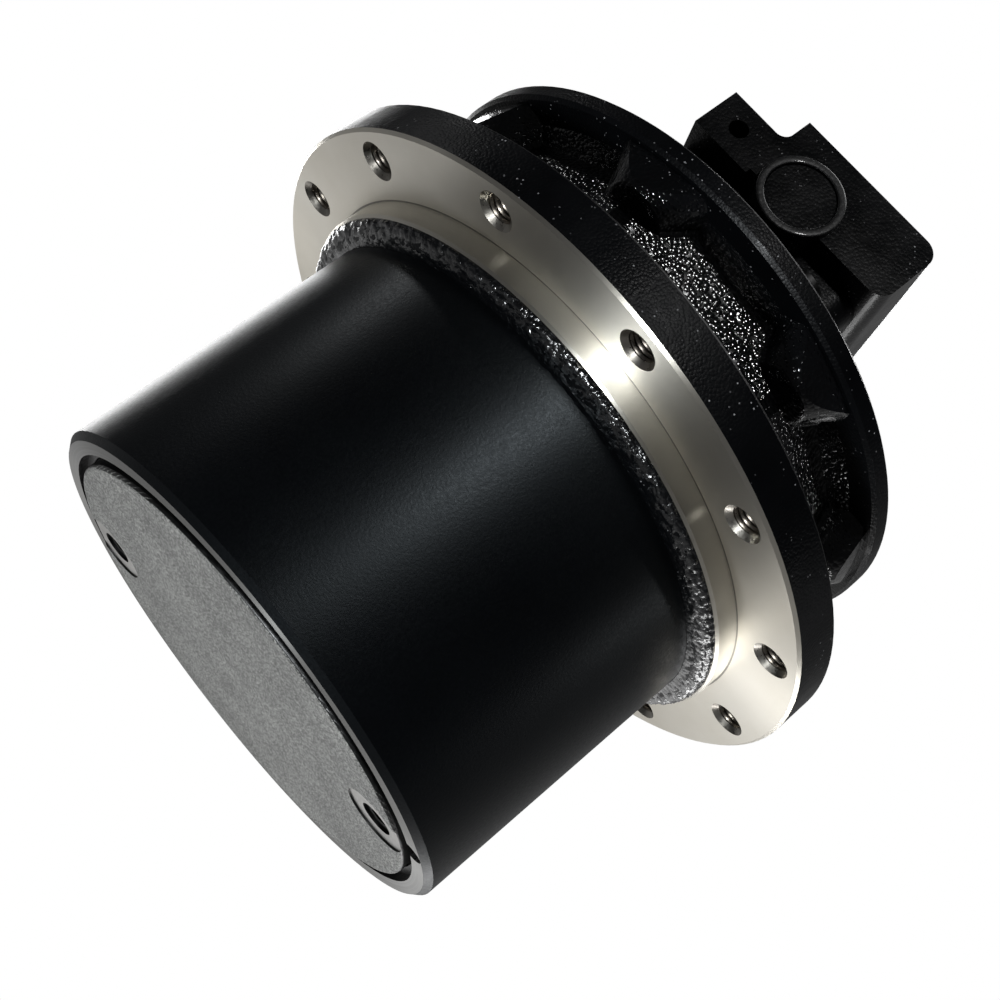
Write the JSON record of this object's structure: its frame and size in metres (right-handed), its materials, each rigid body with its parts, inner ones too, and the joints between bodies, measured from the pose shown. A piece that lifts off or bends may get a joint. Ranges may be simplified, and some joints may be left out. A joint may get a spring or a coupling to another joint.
{
  "type": "excavator final drive",
  "caption": "Travel drive: a black cast hub with a bolted sprocket flange turns on a fixed motor casing, driven through two planetary stages by a piston motor.",
  "frame": {"origin": "centre of the sprocket bolt circle, on the machined face of the sprocket flange", "axes": "+Z along the rotation axis from the end cover towards the motor, +X the normal of the port block's wide face with the spool cap and the pilot port"},
  "size_m": [0.29, 0.29, 0.3175],
  "materials": {
    "black_painted_casting": "gloss black paint over rough casting, with the sprocket face turned bright",
    "cover_iron": "grey, finely speckled",
    "dark_steel": "black oxide",
    "machined_steel": "ground",
    "seal_rubber": "matt",
    "bronze": "machined"
  },
  "bodies": {
    "casing": {"bearing_lock_nut": "machined_steel", "brake_spring": "machined_steel", "brake_steel_plates": "machined_steel", "cover_screws": "dark_steel", "fixed_o_rings": "seal_rubber", "fixed_seal_ring": "machined_steel", "main_bearing_inner_races": "machined_steel", "motor_casing": "black_painted_casting", "rear_cover": "black_painted_casting", "rear_shaft_bush": "bronze", "second_stage_circlips": "machined_steel", "second_stage_pins": "machined_steel", "shaft_bearing_outer_race": "machined_steel", "shaft_oil_seal": "seal_rubber", "spool_caps": "dark_steel", "spool_springs": "machined_steel", "swash_plate": "machined_steel", "valve_plate": "bronze"},
    "housing": {"reduction_housing": "black_painted_casting", "end_cover": "cover_iron", "cover_retaining_ring": "machined_steel", "cover_plugs": "dark_steel", "rotating_o_rings": "seal_rubber", "main_bearing_outer_races": "machined_steel", "rotating_seal_ring": "machined_steel"},
    "main_cages": {"main_bearing_balls": "machined_steel"},
    "shaft": {"motor_shaft": "machined_steel", "sun_shaft": "machined_steel", "cylinder_block": "machined_steel", "shaft_bearing_inner_race": "machined_steel", "brake_friction_discs": "machined_steel", "retainer_ball_guide": "machined_steel"},
    "shaft_cages": {"shaft_bearing_balls": "machined_steel"},
    "carrier": {"first_stage_carrier": "machined_steel", "second_stage_sun": "machined_steel", "first_stage_pins": "machined_steel", "first_stage_circlips": "machined_steel"},
    "planet_1_1": {"first_stage_planet_1": "machined_steel"},
    "planet_2_1": {"second_stage_planet_1": "machined_steel"},
    "planet_1_2": {"first_stage_planet_2": "machined_steel"},
    "planet_2_2": {"second_stage_planet_2": "machined_steel"},
    "planet_1_3": {"first_stage_planet_3": "machined_steel"},
    "planet_2_3": {"second_stage_planet_3": "machined_steel"},
    "retainer": {"retainer_plate": "bronze"},
    "shoe_1": {"piston_shoe_1": "bronze"},
    "piston_1": {"piston_1": "machined_steel"},
    "shoe_2": {"piston_shoe_2": "bronze"},
    "piston_2": {"piston_2": "machined_steel"},
    "shoe_3": {"piston_shoe_3": "bronze"},
    "piston_3": {"piston_3": "machined_steel"},
    "shoe_4": {"piston_shoe_4": "bronze"},
    "piston_4": {"piston_4": "machined_steel"},
    "shoe_5": {"piston_shoe_5": "bronze"},
    "piston_5": {"piston_5": "machined_steel"},
    "shoe_6": {"piston_shoe_6": "bronze"},
    "piston_6": {"piston_6": "machined_steel"},
    "shoe_7": {"piston_shoe_7": "bronze"},
    "piston_7": {"piston_7": "machined_steel"},
    "brake_piston": {"brake_piston": "machined_steel"},
    "spool": {"counterbalance_spool": "machined_steel"}
  },
  "joints": [
    {"name": "shaft_spin", "type": "hinge", "parent": "casing", "child": "shaft", "pos_m": [0, 0, 0], "axis": [0, 0, 1], "continuous": true},
    {"name": "main_cage_spin", "type": "hinge", "parent": "casing", "child": "main_cages", "pos_m": [0, 0, -0.033], "axis": [0, 0, 1], "continuous": true},
    {"name": "housing_spin", "type": "hinge", "parent": "casing", "child": "housing", "pos_m": [0, 0, 0], "axis": [0, 0, 1], "continuous": true},
    {"name": "shaft_cage_spin", "type": "hinge", "parent": "casing", "child": "shaft_cages", "pos_m": [0, 0, 0], "axis": [0, 0, 1], "continuous": true},
    {"name": "carrier_spin", "type": "hinge", "parent": "casing", "child": "carrier", "pos_m": [0, 0, -0.09], "axis": [0, 0, 1], "continuous": true},
    {"name": "planet_1_1_spin", "type": "hinge", "parent": "carrier", "child": "planet_1_1", "pos_m": [0.054, 0, -0.113], "axis": [0, 0, 1], "continuous": true},
    {"name": "planet_2_1_spin", "type": "hinge", "parent": "casing", "child": "planet_2_1", "pos_m": [0.027, 0.04677, -0.077], "axis": [0, 0, 1], "continuous": true},
    {"name": "planet_1_2_spin", "type": "hinge", "parent": "carrier", "child": "planet_1_2", "pos_m": [-0.027, 0.04677, -0.113], "axis": [0, 0, 1], "continuous": true},
    {"name": "planet_2_2_spin", "type": "hinge", "parent": "casing", "child": "planet_2_2", "pos_m": [-0.054, 0, -0.077], "axis": [0, 0, 1], "continuous": true},
    {"name": "planet_1_3_spin", "type": "hinge", "parent": "carrier", "child": "planet_1_3", "pos_m": [-0.027, -0.04677, -0.113], "axis": [0, 0, 1], "continuous": true},
    {"name": "planet_2_3_spin", "type": "hinge", "parent": "casing", "child": "planet_2_3", "pos_m": [0.027, -0.04677, -0.077], "axis": [0, 0, 1], "continuous": true},
    {"name": "retainer_spin", "type": "hinge", "parent": "casing", "child": "retainer", "pos_m": [0, 0, 0.006], "axis": [0.1736, 0, 0.9848], "continuous": true},
    {"name": "shoe_1_turn", "type": "hinge", "parent": "retainer", "child": "shoe_1", "pos_m": [0.02481, 0, 0.00163], "axis": [0.1736, 0, 0.9848], "continuous": true},
    {"name": "piston_1_turn", "type": "hinge", "parent": "shoe_1", "child": "piston_1", "pos_m": [0.02481, 0, 0.00163], "axis": [0, 0, 1], "continuous": true},
    {"name": "shoe_2_turn", "type": "hinge", "parent": "retainer", "child": "shoe_2", "pos_m": [0.01547, 0.0197, 0.00327], "axis": [0.1736, 0, 0.9848], "continuous": true},
    {"name": "piston_2_turn", "type": "hinge", "parent": "shoe_2", "child": "piston_2", "pos_m": [0.01547, 0.0197, 0.00327], "axis": [0, 0, 1], "continuous": true},
    {"name": "shoe_3_turn", "type": "hinge", "parent": "retainer", "child": "shoe_3", "pos_m": [-0.00552, 0.02456, 0.00697], "axis": [0.1736, 0, 0.9848], "continuous": true},
    {"name": "piston_3_turn", "type": "hinge", "parent": "shoe_3", "child": "piston_3", "pos_m": [-0.00552, 0.02456, 0.00697], "axis": [0, 0, 1], "continuous": true},
    {"name": "shoe_4_turn", "type": "hinge", "parent": "retainer", "child": "shoe_4", "pos_m": [-0.02235, 0.01093, 0.00994], "axis": [0.1736, 0, 0.9848], "continuous": true},
    {"name": "piston_4_turn", "type": "hinge", "parent": "shoe_4", "child": "piston_4", "pos_m": [-0.02235, 0.01093, 0.00994], "axis": [0, 0, 1], "continuous": true},
    {"name": "shoe_5_turn", "type": "hinge", "parent": "retainer", "child": "shoe_5", "pos_m": [-0.02235, -0.01093, 0.00994], "axis": [0.1736, 0, 0.9848], "continuous": true},
    {"name": "piston_5_turn", "type": "hinge", "parent": "shoe_5", "child": "piston_5", "pos_m": [-0.02235, -0.01093, 0.00994], "axis": [0, 0, 1], "continuous": true},
    {"name": "shoe_6_turn", "type": "hinge", "parent": "retainer", "child": "shoe_6", "pos_m": [-0.00552, -0.02456, 0.00697], "axis": [0.1736, 0, 0.9848], "continuous": true},
    {"name": "piston_6_turn", "type": "hinge", "parent": "shoe_6", "child": "piston_6", "pos_m": [-0.00552, -0.02456, 0.00697], "axis": [0, 0, 1], "continuous": true},
    {"name": "shoe_7_turn", "type": "hinge", "parent": "retainer", "child": "shoe_7", "pos_m": [0.01547, -0.0197, 0.00327], "axis": [0.1736, 0, 0.9848], "continuous": true},
    {"name": "piston_7_turn", "type": "hinge", "parent": "shoe_7", "child": "piston_7", "pos_m": [0.01547, -0.0197, 0.00327], "axis": [0, 0, 1], "continuous": true},
    {"name": "brake_release", "type": "slide", "parent": "casing", "child": "brake_piston", "axis": [0, 0, 1], "range_m": [0, 0.0015], "stiffness_N_per_m": 200000, "springref_m": -0.002, "deforming": ["brake_spring"]},
    {"name": "spool_slide", "type": "slide", "parent": "casing", "child": "spool", "axis": [1, 0, 0], "range_m": [-0.005, 0.005], "stiffness_N_per_m": 4000, "deforming": ["spool_springs"]}
  ],
  "couplings": [
    {"joint": "main_cage_spin", "follows": "shaft_spin", "ratio": -0.015504},
    {"joint": "housing_spin", "follows": "shaft_spin", "ratio": -0.028571},
    {"joint": "shaft_cage_spin", "follows": "shaft_spin", "ratio": 0.39688},
    {"joint": "carrier_spin", "follows": "shaft_spin", "ratio": 0.14286},
    {"joint": "planet_1_1_spin", "follows": "shaft_spin", "ratio": -0.42857},
    {"joint": "planet_2_1_spin", "follows": "shaft_spin", "ratio": -0.071429},
    {"joint": "planet_1_2_spin", "follows": "shaft_spin", "ratio": -0.42857},
    {"joint": "planet_2_2_spin", "follows": "shaft_spin", "ratio": -0.071429},
    {"joint": "planet_1_3_spin", "follows": "shaft_spin", "ratio": -0.42857},
    {"joint": "planet_2_3_spin", "follows": "shaft_spin", "ratio": -0.071429},
    {"joint": "retainer_spin", "follows": "shaft_spin", "ratio": 1},
    {"joint": "shoe_1_turn", "follows": "shaft_spin", "ratio": -1},
    {"joint": "piston_1_turn", "follows": "shaft_spin", "ratio": 1},
    {"joint": "shoe_2_turn", "follows": "shaft_spin", "ratio": -1},
    {"joint": "piston_2_turn", "follows": "shaft_spin", "ratio": 1},
    {"joint": "shoe_3_turn", "follows": "shaft_spin", "ratio": -1},
    {"joint": "piston_3_turn", "follows": "shaft_spin", "ratio": 1},
    {"joint": "shoe_4_turn", "follows": "shaft_spin", "ratio": -1},
    {"joint": "piston_4_turn", "follows": "shaft_spin", "ratio": 1},
    {"joint": "shoe_5_turn", "follows": "shaft_spin", "ratio": -1},
    {"joint": "piston_5_turn", "follows": "shaft_spin", "ratio": 1},
    {"joint": "shoe_6_turn", "follows": "shaft_spin", "ratio": -1},
    {"joint": "piston_6_turn", "follows": "shaft_spin", "ratio": 1},
    {"joint": "shoe_7_turn", "follows": "shaft_spin", "ratio": -1},
    {"joint": "piston_7_turn", "follows": "shaft_spin", "ratio": 1}
  ]
}
